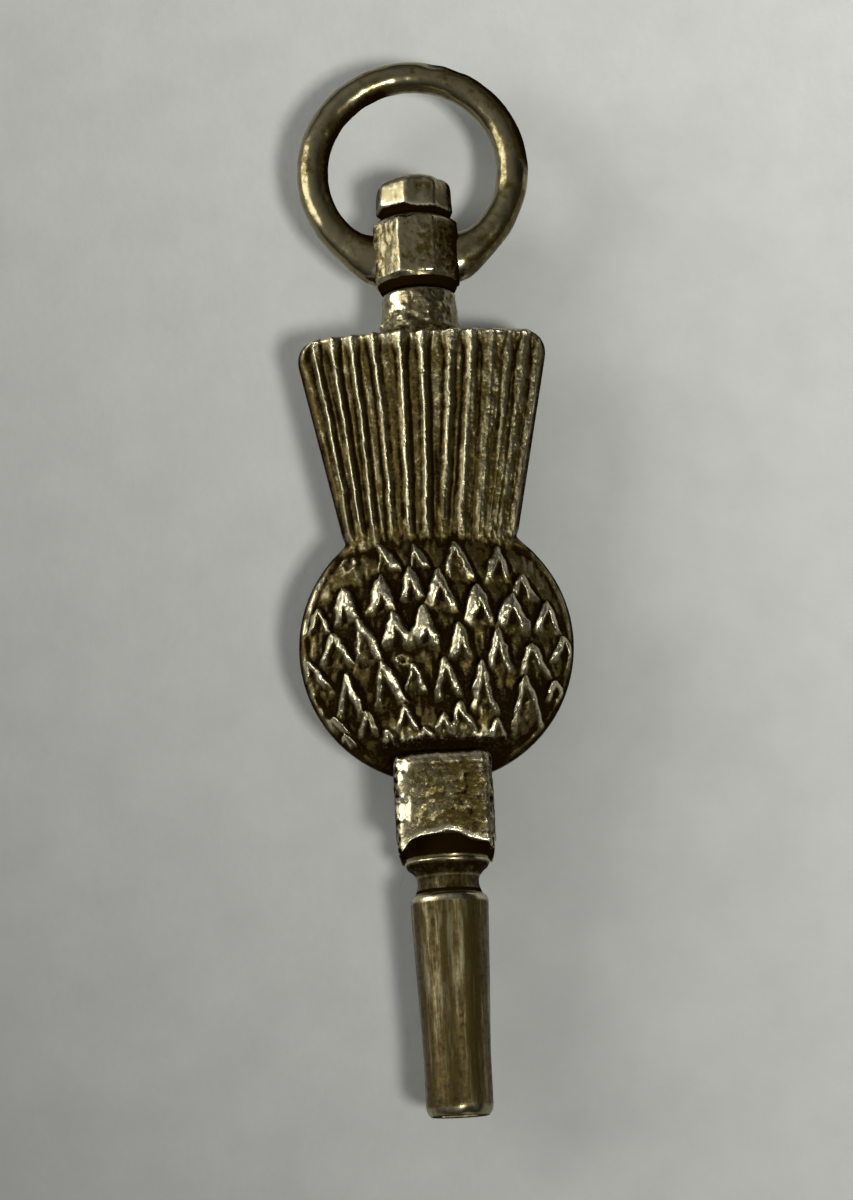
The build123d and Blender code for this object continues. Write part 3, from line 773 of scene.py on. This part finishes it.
def thistle_wear_and_light(x, station, height, seed, side):
    """How sunk and how raised a half's face is: from its relief and its wear, with painted shade along its outline,
    its top edge and where the ball goes into the ferrule, and painted highlights on its left.
    """
    wide = blurred(height, 12, 12) - height
    fine = blurred(height, 4, 4) - height
    inside = edge_distance(x, station)
    on_ball = smooth_share(WAIST - station, -0.3, 0.3)
    share = np.clip(x * side / fan_side(station), -1, 1)
    patchy = field_noise(x, station, 0.3, 0.7, seed + 36)
    patchy_station = station + 0.5 * patchy

    # A black groove right of the fan's middle, painted shade along the fan's top edge, and a darker strip at its
    # left edge
    pocket = np.exp(-((x * side - 0.38) / 0.17) ** 2) * smooth_share(patchy_station, 23.2, 24.0)
    pocket *= 1 - smooth_share(patchy_station, 25.8, 27.2)
    top_rim_shade = smooth_share(0.20 - inside, 0, 0.12) * (1 - on_ball) * smooth_share(x * side, -4.2, -3.4)
    left_edge = smooth_share(-share, 0.89, 0.94) * (1 - on_ball)
    # The shadowed strip where the ball goes into the ferrule
    under = smooth_share(
        FERRULE_TOP + 0.85 - station + 0.12 * field_noise(x, station, 0.3, 0.3, seed + 33), 0, 0.45)
    under = under * smooth_share(3.6 - np.abs(x), 0, 1.2)
    # Near the outline, where the face turns down, it is darkened with painted shade
    hollow = 0.50 - 0.03 * on_ball + wide / 0.30 + fine / 0.17 + 0.38 * smooth_share(
        0.32 + 0.45 * on_ball - inside, 0, 0.3 + 0.3 * on_ball)
    hollow = hollow + (1 - on_ball) * 0.06 * np.clip(-2 * share, -1, 1) + 0.25 * left_edge
    hollow = hollow + on_ball * (0.22 * smooth_share(17.2 - station, 0, 1.6) - 0.06 * np.clip(share * 2, 0, 1))
    hollow = np.clip(np.maximum(hollow, 0.9 * top_rim_shade), 0, 1)
    hollow = np.maximum(np.maximum(hollow, under), 0.95 * pocket)

    # Crests are worn bright, and painted highlights lie on the ribs' ends at the top left and on the ball's rim on
    # its left
    proud = np.clip(-wide / 0.34 - fine / 0.09 - 0.40 + 0.22 * patchy, 0, 1) * (1 - 0.8 * left_edge) * (1 - pocket)
    ends = smooth_share(station, FAN_TOP - 1.0, FAN_TOP - 0.6) * smooth_share(-share, 0.05, 0.3)
    proud = np.minimum(proud * (1 + 1.5 * ends), 1)
    left_rim_highlight = np.exp(-((inside - 0.21) / 0.10) ** 2) * on_ball * smooth_share(-x * side, 3.7, 4.6)
    left_rim_highlight *= smooth_share(field_noise(x, station, 0.4, 0.5, seed + 35), -0.6, 0.1)
    return hollow * (1 - left_rim_highlight), np.maximum(proud, left_rim_highlight)


def thistle_half(name, node, side, seed):
    """One half of the thistle: a grid drawn to its outline, raised to its relief and closed on the seam."""
    columns, rows = 248, 388  # as fine as 200,000 triangles allow
    bm = bmesh.new()
    bmesh.ops.create_grid(bm, x_segments=columns, y_segments=rows, size=1)
    flat = np.array([vert.co for vert in bm.verts])
    across, along = flat[:, 0], (flat[:, 1] + 1) / 2

    # The sines draw the rows and columns closer together at the outline, where the face turns down
    start = FERRULE_TOP - 0.86
    along = 0.78 * along + 0.22 * np.sin(along * math.pi / 2)
    station = start + (FAN_TOP - start) * along
    x = outline_half_width(station) * (0.62 * across + 0.38 * np.sin(across * math.pi / 2))
    order = np.lexsort((flat[:, 0].round(6), flat[:, 1].round(6)))
    grid = [field[order].reshape(rows + 1, columns + 1) for field in (x, station)]
    height = thistle_height(*grid, seed, side)
    values = np.empty((3, len(order)))
    values[:, order] = [field.ravel() for field in (height, *thistle_wear_and_light(*grid, height, seed, side))]
    hollow, proud = (bm.verts.layers.float.new(key) for key in ("hollow", "proud"))
    for index, vert in enumerate(bm.verts):
        vert.co = key_point(x[index], station[index], side * values[0, index])
        vert[hollow], vert[proud] = values[1, index], values[2, index]

    edges = [edge for edge in bm.edges if edge.is_boundary]
    # The walls down to the seam are blackened: painted shade on the walls, and deposit in the seam
    for above, inward, black in ((0.05, 0.0, 0.6), (0.0, 0.035, 0.95)):
        edges, verts = extruded(bm, edges)
        for vert in verts:
            vert.co.z = AXIS_Z + side * above * MM
            vert.co.x -= math.copysign(inward * MM, vert.co.x)
            vert[hollow] = black
    bmesh.ops.edgeloop_fill(bm, edges=edges)
    bmesh.ops.recalc_face_normals(bm, faces=bm.faces)
    return finished(bm, name, "cast_and_chased_brass", node)


class WATCHKEY_OT_finishes(bpy.types.Operator):
    """Make the metal finishes and the paper"""

    bl_idname = "watch_key.finishes"
    bl_label = "Finishes"

    def execute(self, context):
        for name, settings in BRASSES.items():
            aged_metal(name, **settings)
        drawn_steel()
        plain_paper()
        return {"FINISHED"}


class WATCHKEY_OT_thistle(bpy.types.Operator):
    """Raise the ribs and scales of the thistle's two halves"""

    bl_idname = "watch_key.thistle"
    bl_label = "Thistle"

    def execute(self, context):
        thistle_half("thistle_front_relief", "thistle_front", 1, 11)
        thistle_half("thistle_back_relief", "thistle_back", -1, 47)
        return {"FINISHED"}


class WATCHKEY_OT_pipe(bpy.types.Operator):
    """Turn the winding pipe and cut its square socket"""

    bl_idname = "watch_key.pipe"
    bl_label = "Winding pipe"

    def execute(self, context):
        mouth, shoulder, cove = mm("mouth_radius"), mm("shoulder_radius"), mm("cove_radius")
        lip, drum, socket = mm("flange_radius"), mm("drum_radius"), mm("socket_width") / 2
        square = polygon_reach(4, 60)
        rings = sections(((PILOT_END, 0), (PILOT_END, PILOT_RADIUS), (SOCKET_END, PILOT_RADIUS)))
        rings += [section(SOCKET_END * (1 - i / 12) + 0.05 * i / 12, socket, square) for i in range(13)]
        rings += [section(0.0, socket + 0.03, square)]
        outline = [(1.8 * s, r) for s, r in arc((0.26, mouth - 0.26), 0.26, 180, 90, 8)]
        outline += [(2.3, mouth), (SHOULDER - 0.24, shoulder), (SHOULDER - 0.1, shoulder - 0.05)]
        outline += [(SHOULDER, shoulder - 0.19)]
        outline += [
            (SHOULDER + (FLANGE - SHOULDER) * i / 16,
             cove + ((lip - 0.14 if i > 8 else shoulder - 0.2) - cove) * (i / 8 - 1) ** 2) for i in range(1, 16)]
        outline += [(FLANGE + s, lip - r) for s, r in ((0, 0.12), (0.10, 0.06), (0.18, 0.02))]
        outline += arc((DRUM - 0.10, lip - 0.10), 0.10, 90, 10, 5)
        outline += [(DRUM + 0.01, drum), (DRUM_TOP, drum)]
        rings += sections(finely(outline, 0.14) + [(DRUM_TOP, 0)])
        bm = lofted(rings, 128)
        roughen(bm, 0.008, 1.6, 3, start=0.05, end=SHOULDER + 0.1)
        roughen(bm, 0.010, 0.35, 5, start=SHOULDER - 0.3, end=DRUM)
        dent(bm, PIPE_DENTS)
        piece = finished(bm, "pipe_turning", "lathe_turned_brass", "winding_pipe", 50)
        # Painted shade blackens the mouth's end face, the cove and its foot by the shoulder, the bead and the drum
        # under the ferrule; the band on the plain pipe is its brown film, and the flange's top edge is rubbed
        # bright, which also paints its highlight
        weather_and_shade(piece.data, 14, 0.05, (
            (-0.2, 0.05, 1.0), (0.35, SHOULDER - 0.3, 0.68), (SHOULDER + 0.02, SHOULDER + 0.18, 1.3),
            (SHOULDER + 0.1, FLANGE - 0.3, 0.82), (FLANGE - 0.3, DRUM - 0.13, 0.95),
            (DRUM + 0.03, DRUM_TOP, 1.2), (DRUM - 0.10, DRUM - 0.02, -1.0)))
        return {"FINISHED"}


class WATCHKEY_OT_ferrule(bpy.types.Operator):
    """File the ferrule's square block and its arches"""

    bl_idname = "watch_key.ferrule"
    bl_label = "Ferrule"

    def execute(self, context):
        half = mm("ferrule_width") / 2
        seat = mm("flange_radius") + 0.012
        square = polygon_reach(4, 8.5)
        edge_x, edge_station = zip(*ARCH_EDGE)
        cap = FERRULE_TOP - 0.62

        def arched(above, radius, reach, share=0.0):
            """A cross-section that lies a share of the way from the four arches to the plain cap."""
            def place(turn):
                out = radius * reach(turn)
                x, height = out * math.cos(turn), out * math.sin(turn)
                if abs(x) < abs(height):
                    aside = x if height > 0 else -x
                else:
                    aside = height
                station = float(np.interp(aside, edge_x, edge_station)) + above
                return section(station + (cap - station) * share, radius, reach)(turn)
            return place

        rings = sections(((DRUM_TOP + 0.02, 0), (DRUM_TOP + 0.02, seat)))
        rings += [arched(0.03, seat, round_reach), arched(0.0, seat + 0.02, round_reach)]
        rings += [arched(0.0, half - 0.06, square), arched(0.015, half - 0.02, square)]
        rings += [arched(0.06, half, square, i / 44) for i in range(45)]
        outline = [(cap + s, half - r) for s, r in ((0.06, 0.012), (0.12, 0.014), (0.18, 0.003))]
        outline += [(FERRULE_TOP - 0.34, half - 0.01)] + arc((FERRULE_TOP - 0.30, half - 0.33), 0.30, 90, 0, 7)
        rings += sections(outline, square) + sections(((FERRULE_TOP, 0.8), (FERRULE_TOP, 0)))
        bm = lofted(rings, 256)
        roughen(bm, 0.05, 1.0, 7, start=9.6, end=FERRULE_TOP + 0.2, detail=4)
        roughen(bm, 0.02, 0.26, 8, start=11.05, end=FERRULE_TOP + 0.2, detail=2)
        dent(bm, FERRULE_DENTS)
        file_flat(bm, FERRULE_FLATS)
        piece = finished(bm, "ferrule_block", "filed_brass", "ferrule", 50)
        weather_and_shade(piece.data, 36, 0.08)
        # Painted shade grows towards the ferrule's right and blackens its sides
        shade(piece.data, -0.4, 1.4, 0.30)
        darken_sides(piece.data, half - 0.24, half - 0.14, 0.84)
        return {"FINISHED"}


class WATCHKEY_OT_neck(bpy.types.Operator):
    """Build the rough stub that carries the swivel"""

    bl_idname = "watch_key.neck"
    bl_label = "Neck"

    def execute(self, context):
        radius, root, bore = mm("neck_radius"), FAN_TOP - 1.0, SHANK_RADIUS + 0.02
        outline = [(root, 1.1), (root, 1.45), (FAN_TOP - 0.1, 1.70), (FAN_TOP + 0.08, 1.72)]
        outline += [(FAN_TOP + 0.22, 1.64), (FAN_TOP + 0.45, radius + 0.08), (FAN_TOP + 0.8, radius + 0.04)]
        outline += [(NECK_TOP - 0.2, radius), (NECK_TOP - 0.06, radius - 0.04), (NECK_TOP - 0.01, radius - 0.14)]
        rings = sections([(root, 0)] + finely(outline, 0.07))
        rings += sections(((NECK_TOP - 0.01, bore), (SHANK_END, bore), (SHANK_END, 0)))
        bm = lofted(rings, 144)
        roughen(bm, 0.09, 0.55, 13, start=FAN_TOP - 0.8, end=NECK_TOP - 0.06, detail=4)
        roughen(bm, 0.09, 0.7, 17, start=FAN_TOP - 0.9, end=FAN_TOP + 0.75, detail=3)
        dent(bm, NECK_DENTS)
        file_flat(bm, NECK_FLATS)
        roughen(bm, 0.025, 0.3, 15, start=FAN_TOP + 0.2, end=NECK_TOP - 0.06, detail=2)
        piece = finished(bm, "neck_stub_casting", "pitted_solder_brass", "neck_stub")
        # Painted shade blackens the neck's top under the collar; its foot where it meets the fan is darkened
        weather_and_shade(piece.data, 10, 0.09, ((NECK_TOP - 0.10, COLLAR, 1.4), (FAN_TOP - 0.3, FAN_TOP + 0.15, 0.8)))
        return {"FINISHED"}


class WATCHKEY_OT_rivet(bpy.types.Operator):
    """Build the rivet's worn eight-sided head and its shank"""

    bl_idname = "watch_key.rivet"
    bl_label = "Swivel rivet"

    def execute(self, context):
        half = mm("head_width") / 2
        facing = math.radians(HEAD_TURN)
        octagon = polygon_reach(8, 40, facing)
        blunt = polygon_reach(8, 12, facing)

        def brow(share, above, radius, reach):
            """A cross-section a share of the way up to the head's lower edge, which rises towards the left."""
            def place(turn):
                lower = 0.11 + 0.24 * max(0.0, -math.cos(turn)) ** 0.7 + 0.02 * math.sin(3 * turn)
                return section(HEAD + lower * share + above, radius, reach)(turn)
            return place

        shank = [(s, SHANK_RADIUS) for s in (SHANK_END, NECK_TOP, COLLAR, COLLAR_TOP, HEAD)]
        rings = sections([(SHANK_END, 0)] + shank + [(HEAD, half - 0.30)])
        rings += [brow(0.3, 0, half - 0.17, round_reach)]
        rings += [brow(0.6, 0, half - 0.15, blunt), brow(0.9, 0, half - 0.12, blunt)]
        rings += [brow(1, 0.03, half - 0.02, octagon), brow(1, 0.08, half, octagon)]
        rings += [brow(0.7, 0.3, half, octagon), brow(0.3, 0.6, half, octagon)]
        top, bend = HEAD_TOP - 0.30, 0.46
        rings += [section(top - bend - 0.1, half - 0.01, octagon)]
        for i in range(9):
            turned = math.radians(9 * i)
            out = half - bend + bend * math.cos(turned) - 0.02
            rings += [section(top - bend + bend * math.sin(turned), out, polygon_reach(8, 40 - 4 * i, facing))]
        rings += sections((top + 0.27 * (1 - (r / 1.15) ** 2), r) for r in (0.98, 0.75, 0.55, 0.35, 0.15, 0))
        bm = lofted(rings, 160)
        roughen(bm, 0.03, 0.9, 19, start=HEAD + 0.3, end=HEAD_TOP + 0.3)
        roughen(bm, 0.010, 0.25, 20, start=HEAD + 0.3, end=HEAD_TOP + 0.3)
        dent(bm, HEAD_DENTS)
        piece = finished(bm, "rivet_head", "rubbed_brass", "swivel_rivet", 50)
        # Painted shade blackens the shank and the head's underside, the head's sides, and grows towards its right
        weather_and_shade(piece.data, 14, 0.06, ((NECK_TOP, HEAD + 0.06, 1.4),))
        darken_sides(piece.data, half - 0.30, half - 0.10, 0.85)
        shade(piece.data, 0.2, 1.2, 0.15)
        # Painted shade blackens the head's lower edge, and reaches a little higher on the left
        for vert, hollow in zip(piece.data.vertices, piece.data.attributes["hollow"].data):
            left = clamped(-vert.co.x / MM / 0.5)
            above = station_of(vert) - HEAD - 0.22 - 0.15 * left
            hollow.value = max(hollow.value, 1.4 * clamped(0.5 - above / 0.24))
        return {"FINISHED"}


class WATCHKEY_OT_collar(bpy.types.Operator):
    """Build the eight-sided collar that turns on the rivet"""

    bl_idname = "watch_key.collar"
    bl_label = "Bow collar"

    def execute(self, context):
        half, bore = mm("collar_width") / 2, 0.66
        octagon = polygon_reach(8, 90)
        chamfer = ((0, 0.26), (0.12, 0.16), (0.28, 0.09), (0.37, 0.065))  # from the foot up, and inwards
        rings = sections([(COLLAR, bore)] + [(COLLAR + s, half - r) for s, r in chamfer])
        rings += [section(COLLAR + 0.49, half - 0.015, octagon)]
        rings += [section(COLLAR + 0.54 + (COLLAR_TOP - COLLAR - 0.86) * i / 24, half, octagon) for i in range(25)]
        rings += sections(((COLLAR_TOP - 0.27, half - 0.02), (COLLAR_TOP - 0.23, half - 0.07)), octagon)
        rings += sections((
            (COLLAR_TOP - 0.05, half - 0.17), (COLLAR_TOP, half - 0.24), (COLLAR_TOP, bore), (COLLAR, bore)))
        bm = lofted(rings, 192)
        roughen(bm, 0.035, 0.9, 23, start=COLLAR + 0.3, end=COLLAR_TOP - 0.05, detail=4)
        roughen(bm, 0.028, 0.28, 24, start=COLLAR + 0.4, end=COLLAR_TOP - 0.25, detail=3)
        dent(bm, COLLAR_DENTS)
        piece = finished(bm, "collar_barrel", "handled_brass", "bow_collar", 50)
        # Painted shade blackens the collar's lower chamfer and its top under the rivet's head, its sides, and grows
        # towards its right
        weather_and_shade(piece.data, 12, 0.06, (
            (COLLAR - 0.2, COLLAR + 0.34, 1.4), (COLLAR_TOP - 0.20, COLLAR_TOP + 0.2, 1.2)))
        darken_sides(piece.data, half - 0.55, half - 0.05, 0.7)
        shade(piece.data, 0.0, 1.3, 0.45)
        return {"FINISHED"}


class WATCHKEY_OT_ring(bpy.types.Operator):
    """Bend the bow's wire and flare its feet onto the collar"""

    bl_idname = "watch_key.ring"
    bl_label = "Bow ring"

    def execute(self, context):
        radius, wire, half = mm("ring_radius"), mm("wire_radius"), mm("collar_width") / 2
        meeting = math.pi - math.asin(half / radius)
        last = math.pi - math.asin((half - 0.32) / radius)

        def wire_section(angle, share=1.0):
            """The wire's cross-section at an angle from the ring's top, wider where it meets the collar."""
            run = max(0.0, radius * (meeting - abs(angle)))
            flare = math.exp(-((run / 0.95) ** 1.4))
            wear = -0.05 * abs(noise.noise(Vector((angle * 2.3, 0.5, 4.1))))
            across = wire * (1 + wear) * share
            depth = (wire * (1 + 0.6 * wear) + 0.12 * flare) * share

            def place(turn):
                flared = (0.34 if math.cos(turn) > 0 else 0.44) * flare * share
                out = radius + (across + flared) * math.cos(turn)
                return key_point(out * math.sin(angle), RING + out * math.cos(angle), depth * math.sin(turn))
            return place

        parts = 260
        angles = [-last + 2 * last * i / parts for i in range(parts + 1)]
        rings = [wire_section(angles[0], 0)] + [wire_section(a) for a in angles] + [wire_section(angles[-1], 0)]
        bm = lofted(rings, 72)
        roughen(bm, 0.022, 0.9, 29, start=34.2, end=43.0)
        dent(bm, RING_DENTS)
        piece = finished(bm, "bow_wire", "polished_brass_wire", "bow_ring")
        weather_and_shade(piece.data, 10, 0.05)
        # Painted shade darkens the outside of the wire on the right and its inside on the left, standing in for the
        # dark room that these sides reflect
        for vert, hollow in zip(piece.data.vertices, piece.data.attributes["hollow"].data):
            inward = (radius - math.hypot(vert.co.x / MM, station_of(vert) - RING)) / wire
            side = min(1.0, max(-0.8, vert.co.x / (1.5 * MM)))
            if side > 0:
                side *= min(1.0, max(0.4, (station_of(vert) - RING + 1.2) / 1.6))
            hollow.value = min(1.2, hollow.value + 1.5 * max(0.0, -inward * side - 0.20))
        return {"FINISHED"}


class WATCHKEY_OT_stem(bpy.types.Operator):
    """Give the rod inside the thistle its steel"""

    bl_idname = "watch_key.stem"
    bl_label = "Core stem"

    def execute(self, context):
        for slot in frame["nodes"]["core_stem"].material_slots:
            slot.material = bpy.data.materials["drawn_steel"]
        return {"FINISHED"}


def softbox(name, direction, distance, width, height, power):
    """A soft lamp that faces the middle of the key."""
    data = bpy.data.lights.new(name, "AREA")
    data.shape = "RECTANGLE"
    data.size, data.size_y = width, height
    data.energy = power
    data.color = to_linear(LAMP_TONE)[:3]
    lamp = bpy.data.objects.new(name, data)
    lamp.location = Vector((0, 0, AXIS_Z)) + Vector(direction).normalized() * distance
    lamp.rotation_euler = Vector(direction).to_track_quat("Z", "Y").to_euler()
    bpy.context.scene.collection.objects.link(lamp)


def dim_room(scene):
    """A white room that grows lighter upwards, to the left and towards the bow."""
    world = bpy.data.worlds.new("dim_room")
    scene.world = world
    world.use_nodes = True
    tree = world.node_tree
    tree.nodes.clear()
    way = add(tree, "TexCoord", output="Generated")
    level = 1.0
    for axis, interpolation, start, end, low, high in (
            ("Z", "SMOOTHSTEP", 0.0, 0.9, 0.02, 0.37),
            ("X", "LINEAR", -1.0, 0.6, 1.65, 0.14),
            ("Y", "LINEAR", -1.0, 1.0, 0.4, 1.4)):
        part = add(tree, "SeparateXYZ", {"Vector": way}, axis)
        share = add(tree, "MapRange", {
            "Value": part, "From Min": start, "From Max": end, "To Min": low, "To Max": high},
            interpolation_type=interpolation)
        level = add(tree, "Math", {0: level, 1: share}, operation="MULTIPLY")
    back = add(tree, "Background", {"Color": to_linear("#ffffff"), "Strength": level})
    add(tree, "OutputWorld", {"Surface": back})


def photo_camera(scene):
    """A camera that looks down from the pipe's end, rolled so that the bow leans left."""
    rise, roll = math.radians(CAMERA_RISE), math.radians(CAMERA_ROLL)
    away = Vector((0, -math.cos(rise), math.sin(rise)))
    up = Vector((0, math.sin(rise), math.cos(rise)))
    across = Vector((1, 0, 0))
    right = across * math.cos(roll) - up * math.sin(roll)
    upright = across * math.sin(roll) + up * math.cos(roll)
    eye = away * CAMERA_DISTANCE + right * CAMERA_SHIFT[0] + upright * CAMERA_SHIFT[1]
    data = bpy.data.cameras.new("camera")
    data.lens, data.sensor_width, data.sensor_fit = 97.5, 36, "AUTO"
    data.clip_start, data.clip_end = 0.005, 10
    camera = bpy.data.objects.new("camera", data)
    turned = Matrix((right, upright, away)).transposed().to_4x4()
    turned.translation = key_point(eye.x, CAMERA_AIM + eye.y, eye.z)
    camera.matrix_world = turned
    scene.collection.objects.link(camera)
    scene.camera = camera


class WATCHKEY_OT_stage(bpy.types.Operator):
    """Set out the paper, the lamps, the dim room and the camera"""

    bl_idname = "watch_key.stage"
    bl_label = "Stage"

    def execute(self, context):
        bm = bmesh.new()
        bmesh.ops.create_grid(bm, x_segments=8, y_segments=8, size=PAPER_HALF_WIDTH)
        mesh = bpy.data.meshes.new("paper_sheet")
        bm.to_mesh(mesh)
        bm.free()
        mesh.materials.append(bpy.data.materials["plain_paper"])
        paper = bpy.data.objects.new("paper_sheet", mesh)
        context.scene.collection.objects.link(paper)
        for lamp in LAMPS:
            softbox(*lamp)
        dim_room(context.scene)
        photo_camera(context.scene)
        context.scene.view_settings.view_transform = "Standard"
        return {"FINISHED"}


BUILD_ORDER = (
    WATCHKEY_OT_finishes, WATCHKEY_OT_stage, WATCHKEY_OT_pipe, WATCHKEY_OT_ferrule, WATCHKEY_OT_thistle,
    WATCHKEY_OT_neck, WATCHKEY_OT_rivet, WATCHKEY_OT_collar, WATCHKEY_OT_ring, WATCHKEY_OT_stem,
)


class WATCHKEY_PT_panel(bpy.types.Panel):
    """Steps and sizes of the key in the sidebar."""

    bl_idname = "WATCHKEY_PT_panel"
    bl_label = "Thistle watch key"
    bl_space_type = "VIEW_3D"
    bl_region_type = "UI"
    bl_category = "Watch key"

    def draw(self, context):
        for operator in BUILD_ORDER:
            self.layout.operator(operator.bl_idname)
        for group in (context.scene.watch_key_sizes, context.scene.watch_key_colours):
            for name in group.__annotations__:
                self.layout.prop(group, name)


CLASSES = (WATCHKEY_PG_sizes, WATCHKEY_PG_colours, *BUILD_ORDER, WATCHKEY_PT_panel)


def register():
    """Registers the classes and hangs the sizes and colours on the scene."""
    for each in CLASSES:
        bpy.utils.register_class(each)
    bpy.types.Scene.watch_key_sizes = bpy.props.PointerProperty(type=WATCHKEY_PG_sizes)
    bpy.types.Scene.watch_key_colours = bpy.props.PointerProperty(type=WATCHKEY_PG_colours)


def unregister():
    """Takes the classes and properties away again."""
    del bpy.types.Scene.watch_key_colours
    del bpy.types.Scene.watch_key_sizes
    for each in reversed(CLASSES):
        bpy.utils.unregister_class(each)


def main():
    register()
    for operator in BUILD_ORDER:
        group, name = operator.bl_idname.split(".")
        getattr(getattr(bpy.ops, group), name)()


if __name__ == "__main__":
    main()
